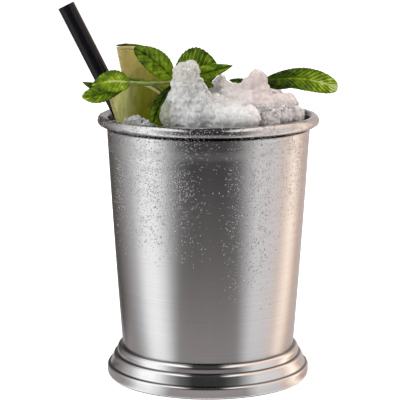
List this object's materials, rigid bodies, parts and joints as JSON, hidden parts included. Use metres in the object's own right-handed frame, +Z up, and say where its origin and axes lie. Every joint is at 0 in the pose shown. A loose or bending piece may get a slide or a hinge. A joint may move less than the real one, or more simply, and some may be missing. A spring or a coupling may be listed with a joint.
{
  "type": "julep cup",
  "caption": "Tapered brushed-metal julep cup with a rolled rim and stepped foot, filled with lift-out crushed ice, lime wedges, mint sprigs and a straw.",
  "frame": {"origin": "centre of the ring that the foot stands on, in the table's plane", "axes": "+Z up along the cup's axis, -Y towards the side in the picture, +X to the right in the picture"},
  "size_m": [0.1158, 0.092, 0.1563],
  "materials": {
    "brushed_steel": "horizontally brushed satin",
    "solder": "dull grey",
    "straw_black": "gloss",
    "ice": "wet, cloudy",
    "lime_skin": "waxy",
    "lime_pith": "matt",
    "lime_flesh": "wet",
    "mint_stem": "satin",
    "mint_leaf": "satin"
  },
  "bodies": {
    "cup": {"cup_shell": "brushed_steel", "foot_ring": "brushed_steel", "foot_solder": "solder"},
    "ice": {"ice_bed": "ice", "ice_tower_top": "ice", "ice_tower_middle": "ice", "ice_tower_lower": "ice", "ice_tower_base": "ice", "ice_front_left": "ice", "ice_front_middle": "ice", "ice_front_right": "ice", "ice_small_peak": "ice", "ice_saddle": "ice", "ice_peak_top": "ice", "ice_peak_base": "ice", "ice_shoulder": "ice", "ice_chips_left": "ice", "ice_chips_right": "ice", "ice_chips_middle": "ice", "ice_chips_back": "ice"},
    "straw": {"straw_tube": "straw_black"},
    "back_lime": {"lime_back_skin": "lime_skin", "lime_back_pith": "lime_pith", "lime_back_flesh": "lime_flesh"},
    "front_lime": {"lime_front_skin": "lime_skin", "lime_front_pith": "lime_pith", "lime_front_flesh": "lime_flesh"},
    "left_mint": {"mint_left_stem": "mint_stem", "mint_left_side_stem": "mint_stem", "mint_leaf_outer": "mint_leaf", "mint_leaf_lower": "mint_leaf", "mint_leaf_curled": "mint_leaf", "mint_leaf_lime": "mint_leaf", "mint_leaf_arched": "mint_leaf", "mint_leaf_pointed": "mint_leaf", "mint_leaf_small": "mint_leaf", "mint_leaf_hanging": "mint_leaf"},
    "right_mint": {"mint_right_stem": "mint_stem", "mint_leaf_long": "mint_leaf", "mint_leaf_under": "mint_leaf", "mint_leaf_hidden": "mint_leaf"}
  },
  "joints": [
    {"name": "ice_lift", "type": "slide", "parent": "cup", "child": "ice", "axis": [0, 0, 1], "range_m": [0, 0.125]},
    {"name": "straw_pull", "type": "slide", "parent": "ice", "child": "straw", "axis": [-0.4478, 0, 0.8942], "range_m": [0, 0.17]},
    {"name": "back_lime_lift", "type": "slide", "parent": "ice", "child": "back_lime", "axis": [0, 0, 1], "range_m": [0, 0.07]},
    {"name": "front_lime_lift", "type": "slide", "parent": "ice", "child": "front_lime", "axis": [0, 0, 1], "range_m": [0, 0.07]},
    {"name": "left_mint_lift", "type": "slide", "parent": "ice", "child": "left_mint", "axis": [0, 0, 1], "range_m": [0, 0.07]},
    {"name": "right_mint_lift", "type": "slide", "parent": "ice", "child": "right_mint", "axis": [0, 0, 1], "range_m": [0, 0.07]}
  ]
}
